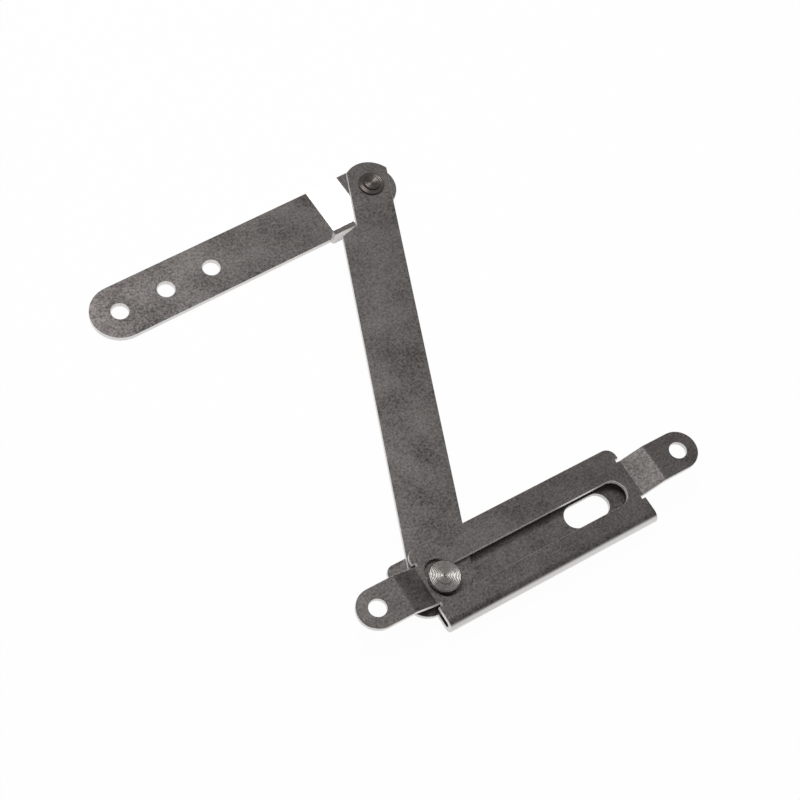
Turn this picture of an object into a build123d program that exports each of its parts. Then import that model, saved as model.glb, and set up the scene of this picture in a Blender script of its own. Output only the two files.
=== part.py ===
from build123d import *
import os
from math import cos, radians, sin, sqrt

# Lid stay: a folded guide that screws to the side wall of a box, a slide stud that runs in its
# slot, a flat arm that swings on the stud, and a cranked bracket that screws to the lid.
# Millimetres. +X runs along the guide, +Y from its fold to its open edge, +Z towards the wall.
# The origin is midway between the guide's two screw holes, on the face that meets the wall.

# ---- driving dimensions -------------------------------------------------------------------------
sheet = 1.5  # thickness of every pressed piece
edge_break = 0.15  # rounding left on the cut edges
bend_inner = 0.8  # inside radius of the small bends

# guide housing
hole_spacing = 99.0  # between the two wall screws
wall_hole = 5.0
tab_width = 11.7
tab_rise = 2.75  # how far the tabs stand above the slotted plate
tab_run = 6.8  # length of each tab's slope
guide_length = 68.4
plate_top_y = 10.65  # open edge of the slotted plate
leaf_top_y = 10.25  # open edge of the back leaf
fold_y = -11.0  # where both leaves run into the fold
plate_corner = 3.0
relief_width = 0.9  # nicks beside the tabs, so that they bend cleanly
relief_depth = 1.1
channel_clearance = 0.25  # each side of the arm, between the leaves
slot_width = 8.0
slot_length = 63.2
slot_start_x = -32.6  # left end of the slot
slot_y = -1.8  # centre line of the slot
notch_radius = 3.7  # catch at the slot's left end
notch_x = -28.8
notch_y = 2.2
access_length = 14.2  # oblong hole in the back leaf
access_width = 7.0
access_x = 18.7
access_y = -1.5
tongue_reach = 6.1  # how far the back leaf passes the plate at its left end
tongue_bottom_y = -7.6
tongue_top_corner = 2.5
tongue_bottom_corner = 6.5

# slide stud
shank_diameter = 5.0
slide_clearance = 0.1  # between the shank and the slot's upper rim
head_diameter = 9.1
head_height = 1.75
head_chamfer = 0.35
head_ring_radius = 2.35  # edge of the raised centre of the head
head_ring_step = 0.2
head_pip_radius = 0.45
head_pip_depth = 0.25
axial_play = 0.05
stud_journal = 4.0
pivot_clearance = 0.05  # radial, in each pivot
stud_tail_radius = 3.0
stud_tail_depth = 0.8

# stay arm
arm_width = 17.2
arm_angle = 68.5  # from +X to the arm's length, as stored
arm_end_centre = 2.6  # centre of the lower end's round, above the stud
pivot_offset = 2.9  # upper pivot, to the right of the arm's centre line
pivot_distance = 127.2  # upper pivot, along the arm from the stud
head_round = 8.1
neck_x = -3.8  # left edge of the narrow head
shoulder_inner_y = 113.2
shoulder_outer_y = 109.6

# pivot rivet
rivet_shank = 4.9
rivet_collar = 7.7
rivet_collar_height = 0.6
rivet_button = 4.9
rivet_button_height = 0.5
rivet_tail = 7.0
rivet_tail_height = 1.0
rivet_chamfer = 0.2
seat_gap = 0.02  # radial, rivet in the arm
layer_gap = 0.1  # between the arm and the bracket's tongue

# lid bracket
bracket_angle = 182.7  # from +X to the bracket's length, as stored
bracket_width = 17.2
tongue_round = 7.8
bracket_drop = 2.4
slope_start = 7.0
slope_end = 17.2
lid_hole = 5.0
lid_hole_spacing = 15.0
first_lid_hole = 55.2
lid_hole_count = 3
lug_start = 11.95
lug_end = 19.3
lug_inner = 8.4  # inside face, from the bracket's centre line
lug_bend = 1.2  # rounding where the lug turns up

# ---- levels and places worked out from them -------------------------------------------------------
plate_top = -tab_rise
plate_bottom = plate_top - sheet
arm_top = plate_bottom - channel_clearance
arm_bottom = arm_top - sheet
leaf_top = arm_bottom - channel_clearance
leaf_bottom = leaf_top - sheet
fold_z = (plate_bottom + leaf_top) / 2
fold_inner = (plate_bottom - leaf_top) / 2
fold_outer = fold_inner + sheet
bracket_top = arm_bottom - layer_gap
bracket_bottom = bracket_top - sheet
bend_outer = bend_inner + sheet
half_guide = guide_length / 2
tab_end_x = half_guide + tab_run
tongue_root_x = -half_guide + tongue_bottom_corner
slot_radius = slot_width / 2
stud_x = slot_start_x + slot_radius
stud_y = slot_y + slot_radius - shank_diameter / 2 - slide_clearance
half_arm = arm_width / 2
half_bracket = bracket_width / 2
last_lid_hole = first_lid_hole + lid_hole_spacing * (lid_hole_count - 1)

turn = radians(arm_angle - 90)
pivot_x = stud_x + pivot_offset * cos(turn) - pivot_distance * sin(turn)
pivot_y = stud_y + pivot_offset * sin(turn) + pivot_distance * cos(turn)
arm_plane = Plane((stud_x, stud_y, 0), x_dir=(cos(turn), sin(turn), 0), z_dir=(0, 0, 1))
lean = radians(bracket_angle)
lug_outer = lug_inner + sheet
bracket_plane = Plane((pivot_x, pivot_y, 0), x_dir=(cos(lean), sin(lean), 0), z_dir=(0, 0, 1))
bracket_side = Plane((pivot_x, pivot_y, 0), x_dir=(cos(lean), sin(lean), 0), z_dir=(sin(lean), -cos(lean), 0))


def lug_root(along):
    """Mid-thickness of the lid bracket's slope at a distance along it."""
    drop = bracket_drop * (along - slope_start) / (slope_end - slope_start)
    return bracket_top - drop - sheet / 2


def below_middle(edge):
    """Whether an edge of the lug's outer side runs along its underside."""
    centre = bracket_plane.to_local_coords(edge @ 0.5)
    return centre.Z < lug_root(min(centre.X, slope_end)) - sheet / 4


def rim_edges(piece):
    """The cut edges round a sheet's two faces: sharp ones, apart from those across its thickness."""
    neighbours = {}
    for face in piece.faces():
        for edge in face.edges():
            neighbours.setdefault(edge, []).append(face)
    rims = ShapeList()
    for edge, faces in neighbours.items():
        middle = edge @ 0.5
        across = edge.geom_type == GeomType.LINE and abs((edge % 0.5).Z) > 0.9
        turn = faces[0].normal_at(middle).get_angle(faces[-1].normal_at(middle))
        if turn > 45 and not across:
            rims.append(edge)
    return rims


# ---- guide housing: one folded sheet --------------------------------------------------------------
with BuildPart() as guide_housing:
    # two leaves joined by the round fold
    with BuildSketch(Plane.YZ.offset(-half_guide)):
        with BuildLine():
            Line((plate_top_y, plate_top), (fold_y, plate_top))
            CenterArc((fold_y, fold_z), fold_outer, 90, 180)
            Line((fold_y, leaf_bottom), (leaf_top_y, leaf_bottom))
            Line((leaf_top_y, leaf_bottom), (leaf_top_y, leaf_top))
            Line((leaf_top_y, leaf_top), (fold_y, leaf_top))
            CenterArc((fold_y, fold_z), fold_inner, 270, -180)
            Line((fold_y, plate_bottom), (plate_top_y, plate_bottom))
            Line((plate_top_y, plate_bottom), (plate_top_y, plate_top))
        make_face()
    extrude(amount=guide_length)
    # rounded upper corners of the slotted plate
    plate_corners = (
        guide_housing.edges()
        .filter_by(Axis.Z)
        .filter_by_position(Axis.Y, plate_top_y - 0.01, plate_top_y + 0.01)
    )
    fillet(plate_corners, plate_corner)
    # the back leaf runs on past the plate at the left
    with BuildSketch(Plane.XY.offset(leaf_bottom)):
        with BuildLine():
            FilletPolyline(
                (tongue_root_x, leaf_top_y),
                (-half_guide - tongue_reach, leaf_top_y),
                (-half_guide - tongue_reach, tongue_bottom_y),
                (tongue_root_x, tongue_bottom_y),
                radius=(tongue_top_corner, tongue_bottom_corner),
            )
            Line((tongue_root_x, tongue_bottom_y), (tongue_root_x, leaf_top_y))
        make_face()
    extrude(amount=sheet)
    # room at each end for the tab's root, with a nick on each side of it
    with BuildSketch(Plane.XY.offset(plate_bottom)):
        with GridLocations(guide_length - relief_depth, 0, 2, 1):
            Rectangle(relief_depth, tab_width + 2 * relief_width)
    extrude(amount=sheet, mode=Mode.SUBTRACT)
    # cranked screw tabs at both ends
    for side in (-1, 1):
        with BuildSketch(Plane.XZ.offset(-tab_width / 2)):
            with BuildLine():
                upper = FilletPolyline(
                    (side * (half_guide - relief_depth), plate_top),
                    (side * half_guide, plate_top),
                    (side * tab_end_x, 0),
                    (side * hole_spacing / 2, 0),
                    radius=(bend_inner, bend_outer),
                )
                offset(upper, amount=sheet, side=Side.RIGHT if side > 0 else Side.LEFT)
            make_face()
        extrude(amount=tab_width)
    with BuildSketch(Plane.XY.offset(-sheet)):
        with GridLocations(hole_spacing, 0, 2, 1):
            Circle(tab_width / 2)
    extrude(amount=sheet)
    # slot for the stud, with its catch
    with BuildSketch(Plane.XY.offset(plate_bottom)):
        with Locations((slot_start_x + slot_length / 2, slot_y)):
            SlotOverall(slot_length, slot_width)
        with Locations((notch_x, notch_y)):
            Circle(notch_radius)
    extrude(amount=sheet, mode=Mode.SUBTRACT)
    # access hole in the back leaf
    with BuildSketch(Plane.XY.offset(leaf_bottom)):
        with Locations((access_x, access_y)):
            SlotOverall(access_length, access_width)
    extrude(amount=sheet, mode=Mode.SUBTRACT)
    # screw holes
    with BuildSketch(Plane.XY.offset(-sheet)):
        with GridLocations(hole_spacing, 0, 2, 1):
            Circle(wall_hole / 2)
    extrude(amount=sheet, mode=Mode.SUBTRACT)
    fillet(rim_edges(guide_housing), edge_break)

# ---- slide stud: turned, its tail closed into the arm ----------------------------------------------
head_bottom = plate_top + axial_play
head_top = head_bottom + head_height
shoulder_z = arm_top + axial_play
tail_start = arm_bottom + stud_tail_depth
tail_slope = (stud_tail_radius - stud_journal / 2) / stud_tail_depth
with BuildPart() as slide_stud:
    with BuildSketch(Plane((stud_x, stud_y, 0), x_dir=(1, 0, 0), z_dir=(0, -1, 0))):
        with BuildLine():
            Polyline(
                (0, head_top - head_pip_depth),
                (head_pip_radius, head_top),
                (head_ring_radius, head_top),
                (head_ring_radius, head_top - head_ring_step),
                (head_diameter / 2 - head_chamfer, head_top - head_ring_step),
                (head_diameter / 2, head_top - head_ring_step - head_chamfer),
                (head_diameter / 2, head_bottom),
                (shank_diameter / 2, head_bottom),
                (shank_diameter / 2, shoulder_z),
                (stud_journal / 2, shoulder_z),
                (stud_journal / 2, tail_start),
                (stud_tail_radius, arm_bottom),
                (0, arm_bottom),
                close=True,
            )
        make_face()
    revolve(axis=Axis((stud_x, stud_y, 0), (0, 0, 1)))

# ---- stay arm: flat strip --------------------------------------------------------------------------
head_left_y = pivot_distance + sqrt(head_round**2 - (pivot_offset - neck_x) ** 2)
head_right_y = pivot_distance + sqrt(head_round**2 - (half_arm - pivot_offset) ** 2)
with BuildPart() as stay_arm:
    with BuildSketch(arm_plane.offset(arm_bottom)):
        with BuildLine():
            Line((half_arm, arm_end_centre), (half_arm, head_right_y))
            ThreePointArc(
                (half_arm, head_right_y),
                (pivot_offset, pivot_distance + head_round),
                (neck_x, head_left_y),
            )
            Polyline(
                (neck_x, head_left_y),
                (neck_x, shoulder_inner_y),
                (-half_arm, shoulder_outer_y),
                (-half_arm, arm_end_centre),
            )
            CenterArc((0, arm_end_centre), half_arm, 180, 180)
        make_face()
    extrude(amount=sheet)
    fillet(rim_edges(stay_arm), edge_break)
    # pivot hole for the stud, dished below to take its tail
    with BuildSketch(arm_plane.offset(arm_bottom)):
        Circle(stud_journal / 2 + pivot_clearance)
    extrude(amount=sheet, mode=Mode.SUBTRACT)
    with BuildSketch(Plane((stud_x, stud_y, 0), x_dir=(1, 0, 0), z_dir=(0, -1, 0))):
        with BuildLine():
            Polyline(
                (0, arm_bottom),
                (stud_tail_radius + 2 * pivot_clearance, arm_bottom),
                (stud_tail_radius + 2 * pivot_clearance - tail_slope * stud_tail_depth, tail_start),
                (0, tail_start),
                close=True,
            )
        make_face()
    revolve(axis=Axis((stud_x, stud_y, 0), (0, 0, 1)), mode=Mode.SUBTRACT)
    # hole for the pivot rivet
    with BuildSketch(arm_plane.offset(arm_bottom)):
        with Locations((pivot_offset, pivot_distance)):
            Circle(rivet_shank / 2 + seat_gap)
    extrude(amount=sheet, mode=Mode.SUBTRACT)

# ---- pivot rivet: turned, fast in the arm, the bracket turns on it ---------------------------------
collar_top = arm_top + rivet_collar_height
button_top = collar_top + rivet_button_height
tail_bottom = bracket_bottom - axial_play - rivet_tail_height
with BuildPart() as pivot_rivet:
    with BuildSketch(Plane((pivot_x, pivot_y, 0), x_dir=(1, 0, 0), z_dir=(0, -1, 0))):
        with BuildLine():
            Polyline(
                (0, button_top),
                (rivet_button / 2 - rivet_chamfer, button_top),
                (rivet_button / 2, button_top - rivet_chamfer),
                (rivet_button / 2, collar_top),
                (rivet_collar / 2 - rivet_chamfer, collar_top),
                (rivet_collar / 2, collar_top - rivet_chamfer),
                (rivet_collar / 2, arm_top),
                (rivet_shank / 2, arm_top),
                (rivet_shank / 2, bracket_bottom - axial_play),
                (rivet_tail / 2, bracket_bottom - axial_play),
                (rivet_tail / 2, tail_bottom + rivet_tail_height / 2),
                (rivet_tail / 2 - rivet_tail_height / 2, tail_bottom),
                (0, tail_bottom),
                close=True,
            )
        make_face()
    revolve(axis=Axis((pivot_x, pivot_y, 0), (0, 0, 1)))

# ---- lid bracket: cranked strip with a turned-up stop ----------------------------------------------
drop_bottom = bracket_bottom - bracket_drop
with BuildPart() as lid_bracket:
    # the cranked section, as wide as the strip and its lug
    with BuildSketch(bracket_side.offset(-lug_outer)):
        with BuildLine():
            crank = FilletPolyline(
                (-tongue_round, bracket_top),
                (slope_start, bracket_top),
                (slope_end, bracket_top - bracket_drop),
                (last_lid_hole + half_bracket, bracket_top - bracket_drop),
                radius=(bend_outer, bend_inner),
            )
            offset(crank, amount=sheet, side=Side.RIGHT)
        make_face()
    extrude(amount=half_bracket + lug_outer)
    # trimmed to its outline
    with BuildSketch(bracket_plane.offset(drop_bottom)):
        with BuildLine():
            Line((0, -tongue_round), (slope_start, -tongue_round))
            Line((slope_start, -tongue_round), (slope_end, -half_bracket))
            Line((slope_end, -half_bracket), (last_lid_hole, -half_bracket))
            CenterArc((last_lid_hole, 0), half_bracket, 270, 180)
            Line((last_lid_hole, half_bracket), (slope_end, half_bracket))
            Line((slope_end, half_bracket), (slope_start, tongue_round))
            Line((slope_start, tongue_round), (0, tongue_round))
            CenterArc((0, 0), tongue_round, 90, 180)
        make_face()
        with Locations(((lug_start + lug_end) / 2, lug_outer / 2)):
            Rectangle(lug_end - lug_start, lug_outer)
    extrude(amount=bracket_top - drop_bottom, mode=Mode.INTERSECT)
    lug_side = lid_bracket.faces().sort_by(Axis(bracket_plane.origin, bracket_plane.y_dir))[-1]
    fillet(lug_side.edges().filter_by(below_middle), lug_bend)
    # the lug itself, up to the arm's top face
    with BuildSketch(bracket_side.offset(-lug_outer)):
        with BuildLine():
            Polyline(
                (lug_start, lug_root(lug_start)),
                (slope_end, lug_root(slope_end)),
                (lug_end, lug_root(slope_end)),
                (lug_end, arm_top),
                (lug_start, arm_top),
                close=True,
            )
        make_face()
    extrude(amount=sheet)
    # screw holes in the long leg, and the pivot hole in the tongue
    with BuildSketch(bracket_plane.offset(drop_bottom)):
        for index in range(lid_hole_count):
            with Locations((first_lid_hole + index * lid_hole_spacing, 0)):
                Circle(lid_hole / 2)
    extrude(amount=bracket_top - drop_bottom, mode=Mode.SUBTRACT)
    hole_rims = lid_bracket.edges().filter_by(
        lambda edge: edge.geom_type == GeomType.CIRCLE and abs(edge.radius - lid_hole / 2) < 1e-3
    )
    fillet(hole_rims, edge_break)
    with BuildSketch(bracket_plane.offset(bracket_bottom)):
        Circle(rivet_shank / 2 + pivot_clearance)
    extrude(amount=sheet, mode=Mode.SUBTRACT)

nodes = {
    "guide_housing": guide_housing,
    "slide_stud": slide_stud,
    "stay_arm": stay_arm,
    "pivot_rivet": pivot_rivet,
    "lid_bracket": lid_bracket,
}
os.makedirs("parts", exist_ok=True)
for name, node in nodes.items():
    node.part.label = name
    print(name, node.part.is_valid, round(node.part.volume, 2))
    export_step(node.part, f"parts/{name}.step")
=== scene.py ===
import math

import bpy
from mathutils import Matrix, Vector


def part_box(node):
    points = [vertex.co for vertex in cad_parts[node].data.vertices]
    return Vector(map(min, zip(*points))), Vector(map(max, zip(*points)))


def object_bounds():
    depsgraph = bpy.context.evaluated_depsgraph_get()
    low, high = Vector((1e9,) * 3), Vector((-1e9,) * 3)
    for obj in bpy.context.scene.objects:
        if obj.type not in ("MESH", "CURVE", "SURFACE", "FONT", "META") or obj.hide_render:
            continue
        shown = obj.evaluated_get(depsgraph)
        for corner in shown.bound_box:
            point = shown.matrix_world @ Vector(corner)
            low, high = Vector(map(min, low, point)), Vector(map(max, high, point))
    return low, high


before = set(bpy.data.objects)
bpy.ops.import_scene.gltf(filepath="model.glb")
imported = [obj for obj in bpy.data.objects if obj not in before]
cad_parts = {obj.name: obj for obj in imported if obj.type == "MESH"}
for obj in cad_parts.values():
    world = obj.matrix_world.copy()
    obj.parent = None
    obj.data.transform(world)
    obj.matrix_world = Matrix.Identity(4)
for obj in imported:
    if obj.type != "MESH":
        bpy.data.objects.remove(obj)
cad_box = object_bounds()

# %% [markdown]
# ## A lid stay in pressed steel
# The stay is a folded guide, a flat arm and a cranked bracket, all stamped from one sheet, held
# together by a turned stud and a turned rivet. Every piece already has its true form in the frame,
# so the work here is finish and light: the dull speckled faces, the painted highlight on the bends
# and cut edges, and the rings that the lathe leaves.

# %% The scene's colour handling
scene = bpy.context.scene
scene.view_settings.view_transform = "Standard"
print("nodes carried over:", sorted(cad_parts))

# %% [markdown]
# ## The mottle
# Plated sheet is never one grey. Fine grains of light and dark lie over broad, faint clouds. Both
# can come from noise, at two sizes. It is a shader node group, because the sheet and the turned
# pieces both use it, with their own values.


# %% A small helper for wiring nodes
def add(tree, kind, inputs=None, **settings):
    """Adds a node, sets its properties, and fills or links its inputs."""
    node = tree.nodes.new(kind)
    for name, value in settings.items():
        setattr(node, name, value)
    for key, value in (inputs or {}).items():
        if isinstance(value, bpy.types.NodeSocket):
            tree.links.new(value, node.inputs[key])
        else:
            node.inputs[key].default_value = value
    return node


def maths(tree, operation, first, second=0.0, third=None):
    """One arithmetic step, returning its output."""
    inputs = {0: first, 1: second}
    if third is not None:
        inputs[2] = third
    return add(tree, "ShaderNodeMath", inputs, operation=operation).outputs[0]


def new_group(name, inputs, outputs):
    """A node group with named sockets, its own input node and its own output node."""
    group = bpy.data.node_groups.new(name, "ShaderNodeTree")
    for socket, kind, value in inputs:
        made = group.interface.new_socket(name=socket, in_out="INPUT", socket_type=kind)
        made.default_value = value
    for socket, kind in outputs:
        group.interface.new_socket(name=socket, in_out="OUTPUT", socket_type=kind)
    return group, add(group, "NodeGroupInput"), add(group, "NodeGroupOutput")


# %% The mottle group
FLOAT, COLOUR = "NodeSocketFloat", "NodeSocketColor"
mottle, given, put = new_group(
    "sheet_mottle",
    [
        ("Grain", FLOAT, 1500.0),
        ("Cloud", FLOAT, 90.0),
        ("Dark", COLOUR, (0.04, 0.034, 0.032, 1)),
        ("Light", COLOUR, (0.2, 0.185, 0.178, 1)),
    ],
    [("Color", COLOUR), ("Roughness", FLOAT), ("Height", FLOAT)],
)
place = add(mottle, "ShaderNodeTexCoord").outputs["Object"]
grain = add(
    mottle, "ShaderNodeTexNoise",
    {"Vector": place, "Scale": given.outputs["Grain"], "Detail": 3.0, "Roughness": 0.65},
).outputs["Fac"]
cloud = add(
    mottle, "ShaderNodeTexNoise",
    {"Vector": place, "Scale": given.outputs["Cloud"], "Detail": 4.0, "Roughness": 0.6},
).outputs["Fac"]
GRAIN_SHARE, CLOUD_SHARE = 0.62, 0.38
fine = maths(mottle, "MULTIPLY", grain, GRAIN_SHARE)
broad = maths(mottle, "MULTIPLY", cloud, CLOUD_SHARE)
blend = maths(mottle, "ADD", fine, broad)
spread = add(mottle, "ShaderNodeMapRange", {"Value": blend, "From Min": 0.34, "From Max": 0.66}).outputs[0]
shade = add(
    mottle, "ShaderNodeMix",
    {"Factor": spread, 6: given.outputs["Dark"], 7: given.outputs["Light"]},
    data_type="RGBA",
).outputs[2]
gloss = add(
    mottle, "ShaderNodeMapRange",
    {"Value": blend, "From Min": 0.3, "From Max": 0.7, "To Min": 0.5, "To Max": 0.34},
).outputs[0]
mottle.links.new(shade, put.inputs["Color"])
mottle.links.new(gloss, put.inputs["Roughness"])
mottle.links.new(grain, put.inputs["Height"])

# %% [markdown]
# ## Painted highlight on bends and cut edges
# The fold, the cranks and the cut edges face the bright surround and shine. A near-white colour is
# painted where the surface leans away from the flat of the sheet, and it stands in for that reflected
# light. The lean of the surface gives the mask.

# %% The painted highlight mask group
# Mask for the painted highlight: a near-white colour goes where the surface leans from the flat.
painted_sheen_group, given, put = new_group(
    "painted_bend_sheen",
    [("Start", FLOAT, 0.012), ("Full", FLOAT, 0.05)],
    [("Mask", FLOAT)],
)
lean = add(painted_sheen_group, "ShaderNodeSeparateXYZ", {0: add(painted_sheen_group, "ShaderNodeTexCoord").outputs["Normal"]})
flatness = maths(painted_sheen_group, "ABSOLUTE", lean.outputs["Z"])
mask = add(
    painted_sheen_group, "ShaderNodeMapRange",
    {
        "Value": maths(painted_sheen_group, "SUBTRACT", 1.0, flatness),
        "From Min": given.outputs["Start"],
        "From Max": given.outputs["Full"],
    },
    interpolation_type="SMOOTHSTEP",
).outputs[0]
painted_sheen_group.links.new(mask, put.inputs["Mask"])


# %% [markdown]
# ## The two sheet finishes
# The guide and the arm carry the painted highlight only at their cut edges and the round fold. The
# bracket's crank leans by just a few degrees and carries it too, so its mask starts almost at the flat.

# %% The pressed sheet
DULL_METALLIC, BRIGHT_METALLIC = 0.8, 0.3


def sheet_finish(name, bright, start, full):
    """Dull mottled plate, with a painted highlight where the surface leans between start and full."""
    material = bpy.data.materials.new(name)
    material.use_nodes = True
    tree = material.node_tree
    shader = tree.nodes["Principled BSDF"]
    skin = add(tree, "ShaderNodeGroup", node_tree=mottle)
    # This mask places the painted highlight, a near-white colour over the mottle, with lower metallic.
    sheen_mask = add(tree, "ShaderNodeGroup", {"Start": start, "Full": full}, node_tree=painted_sheen_group)
    sheen_metallic = add(
        tree, "ShaderNodeMapRange",
        {"Value": sheen_mask.outputs["Mask"], "To Min": DULL_METALLIC, "To Max": BRIGHT_METALLIC},
    )
    colour = add(
        tree, "ShaderNodeMix",
        {"Factor": sheen_mask.outputs["Mask"], 6: skin.outputs["Color"], 7: bright},
        data_type="RGBA",
    )
    bump = add(
        tree, "ShaderNodeBump",
        {"Strength": 0.12, "Distance": 0.0001, "Height": skin.outputs["Height"]},
    )
    tree.links.new(colour.outputs[2], shader.inputs["Base Color"])
    tree.links.new(skin.outputs["Roughness"], shader.inputs["Roughness"])
    tree.links.new(bump.outputs["Normal"], shader.inputs["Normal"])
    tree.links.new(sheen_metallic.outputs[0], shader.inputs["Metallic"])
    return material


# Near-white colour of the painted highlight on the bends and cut edges, in place of reflected light.
PAINTED_SHEEN_COLOUR = (0.92, 0.9, 0.88, 1)
pressed = sheet_finish("pressed_sheet", PAINTED_SHEEN_COLOUR, 0.12, 0.4)
cranked = sheet_finish("cranked_sheet", PAINTED_SHEEN_COLOUR, 0.012, 0.024)

# %% [markdown]
# ## Turned heads
# The stud and the rivet come off a lathe, and the tool leaves fine rings round the axis. The
# distance from the axis, fed to a sine, gives those rings to both the colour and the bump.


# %% The turned finish
RING_PITCH = 0.00042
RING_DARKNESS = 0.45
RING_COLOUR = (0.1, 0.09, 0.085, 1)


def turned_finish(name, node, dark, light):
    """Lathe rings round the upright axis through a node's middle."""
    low, high = (Vector(corner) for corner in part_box(node))
    middle = (low + high) / 2
    material = bpy.data.materials.new(name)
    material.use_nodes = True
    tree = material.node_tree
    shader = tree.nodes["Principled BSDF"]
    place = add(tree, "ShaderNodeTexCoord").outputs["Object"]
    offset = add(tree, "ShaderNodeVectorMath", {0: place, 1: (middle.x, middle.y, 0)}, operation="SUBTRACT")
    flat = add(tree, "ShaderNodeVectorMath", {0: offset.outputs[0], 1: (1, 1, 0)}, operation="MULTIPLY")
    radius = add(tree, "ShaderNodeVectorMath", {0: flat.outputs[0]}, operation="LENGTH").outputs["Value"]
    ring = maths(tree, "SINE", maths(tree, "MULTIPLY", radius, 2 * math.pi / RING_PITCH))
    wave = maths(tree, "MULTIPLY_ADD", ring, 0.5, 0.5)
    skin = add(
        tree, "ShaderNodeGroup",
        {"Grain": 2200.0, "Dark": dark, "Light": light},
        node_tree=mottle,
    )
    tone = add(
        tree, "ShaderNodeMix",
        {"Factor": maths(tree, "MULTIPLY", wave, RING_DARKNESS), 6: skin.outputs["Color"], 7: RING_COLOUR},
        data_type="RGBA",
    )
    bump = add(tree, "ShaderNodeBump", {"Strength": 0.5, "Distance": 0.00008, "Height": wave})
    tree.links.new(tone.outputs[2], shader.inputs["Base Color"])
    tree.links.new(bump.outputs["Normal"], shader.inputs["Normal"])
    shader.inputs["Roughness"].default_value = 0.3
    shader.inputs["Metallic"].default_value = 1.0
    return material


# %% Each node gets its finish
def dress(node, material):
    """Puts one finish on a carried-over node."""
    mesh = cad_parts[node].data
    if not mesh.materials:
        mesh.materials.append(material)
    for index in range(len(mesh.materials)):
        mesh.materials[index] = material
    print(node, "is dressed in", material.name)


for plate in ("guide_housing", "stay_arm"):
    dress(plate, pressed)
dress("lid_bracket", cranked)
STUD_DARK, STUD_LIGHT = (0.1, 0.093, 0.088, 1), (0.4, 0.38, 0.36, 1)
RIVET_DARK, RIVET_LIGHT = (0.04, 0.034, 0.03, 1), (0.15, 0.13, 0.12, 1)
dress("slide_stud", turned_finish("turned_stud", "slide_stud", STUD_DARK, STUD_LIGHT))
dress("pivot_rivet", turned_finish("turned_rivet", "pivot_rivet", RIVET_DARK, RIVET_LIGHT))

# %% [markdown]
# ## Floor and light
# The stay lies on a plain white sheet. The floor shows white to the eye and in reflections, and
# still keeps a faint shadow. A soft overhead panel catches the cranks, and an even surround fills
# the rest.

# %% The floor
FLOOR_REACH = 3.0
bpy.ops.mesh.primitive_plane_add(size=2 * FLOOR_REACH, location=(0, 0, cad_box[0][2] - 0.0001))
floor = bpy.context.object
floor.name = "floor"
paper = bpy.data.materials.new("white_paper")
paper.use_nodes = True
tree = paper.node_tree
matt = tree.nodes["Principled BSDF"]
matt.inputs["Base Color"].default_value = (0.9, 0.9, 0.9, 1)
matt.inputs["Roughness"].default_value = 0.9
glow = add(tree, "ShaderNodeEmission", {"Color": (1, 1, 1, 1), "Strength": 1.0})
path = add(tree, "ShaderNodeLightPath")
seen = maths(tree, "MAXIMUM", path.outputs["Is Camera Ray"], path.outputs["Is Glossy Ray"])
seen = maths(tree, "MAXIMUM", seen, path.outputs["Is Transmission Ray"])
GLOW_SHARE = 0.97
share = maths(tree, "MULTIPLY", seen, GLOW_SHARE)
mix = add(tree, "ShaderNodeMixShader", {0: share, 1: matt.outputs[0], 2: glow.outputs[0]})
tree.links.new(mix.outputs[0], tree.nodes["Material Output"].inputs["Surface"])
floor.data.materials.append(paper)

# %% The surround
world = bpy.data.worlds.new("studio")
world.use_nodes = True
world.node_tree.nodes["Background"].inputs["Color"].default_value = (1, 1, 1, 1)
world.node_tree.nodes["Background"].inputs["Strength"].default_value = 0.5
scene.world = world


# %% The soft overhead panel
def panel(name, towards, aim, distance, size, watts):
    """A square soft light on a line from a point of the object."""
    light = bpy.data.lights.new(name, "AREA")
    light.size = size
    light.energy = watts
    lamp = bpy.data.objects.new(name, light)
    away = Vector(towards).normalized()
    lamp.location = Vector(aim) + away * distance
    lamp.rotation_euler = away.to_track_quat("Z", "Y").to_euler()
    scene.collection.objects.link(lamp)


bracket_high = Vector(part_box("lid_bracket")[1])
panel("overhead", (-0.055, 0.318, 0.947), bracket_high, 0.9, 0.24, 3.0)

# %% [markdown]
# ## The camera
# It looks down from the left and the front, from well back, so that the long arm hardly tapers.

# %% The camera
CAMERA_PLACE = Vector((-0.1946, -0.1175, 0.4285))
CAMERA_RIGHT = Vector((0.838, -0.522, 0.1545)).normalized()
CAMERA_BACK = Vector((-0.369, -0.337, 0.866)).normalized()
lens = bpy.data.cameras.new("view")
lens.lens = 81.0
lens.sensor_width = 36.0
lens.clip_start = 0.01
camera = bpy.data.objects.new("view", lens)
up = CAMERA_BACK.cross(CAMERA_RIGHT).normalized()
side = up.cross(CAMERA_BACK)
turn = Matrix((side, up, CAMERA_BACK)).transposed()
camera.matrix_world = Matrix.Translation(CAMERA_PLACE) @ turn.to_4x4()
scene.collection.objects.link(camera)
scene.camera = camera
